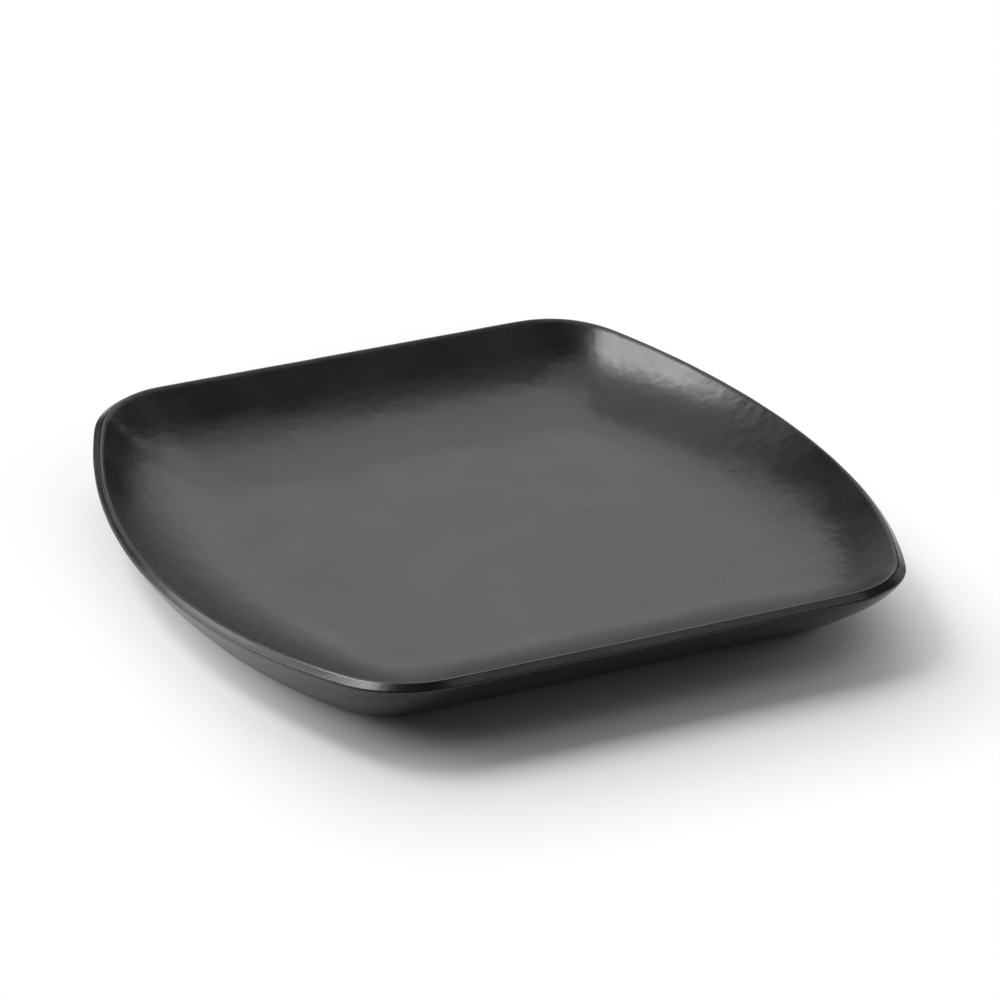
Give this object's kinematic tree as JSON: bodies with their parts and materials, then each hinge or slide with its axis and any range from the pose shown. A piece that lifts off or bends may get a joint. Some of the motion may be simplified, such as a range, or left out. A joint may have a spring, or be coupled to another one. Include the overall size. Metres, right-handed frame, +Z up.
{
  "type": "square dinner plate",
  "caption": "Square ceramic dinner plate with straight and bowed sides, a lip that dips along the bowed sides, and a wide coved well in satin black glaze.",
  "frame": {"origin": "on the table, under the middle of the foot ring", "axes": "+Z up out of the well, +X out of a bowed side, +Y out of a straight side"},
  "size_m": [0.2498, 0.2492, 0.0278],
  "materials": {
    "bare_stoneware": "unglazed dark stoneware, dry and finely gritty",
    "black_glaze": "satin-matt black glaze with a faint hand-made unevenness"
  },
  "bodies": {
    "root": {"plate_body": "bare_stoneware", "glaze_coat": "black_glaze", "base_glaze": "black_glaze"}
  },
  "joints": []
}
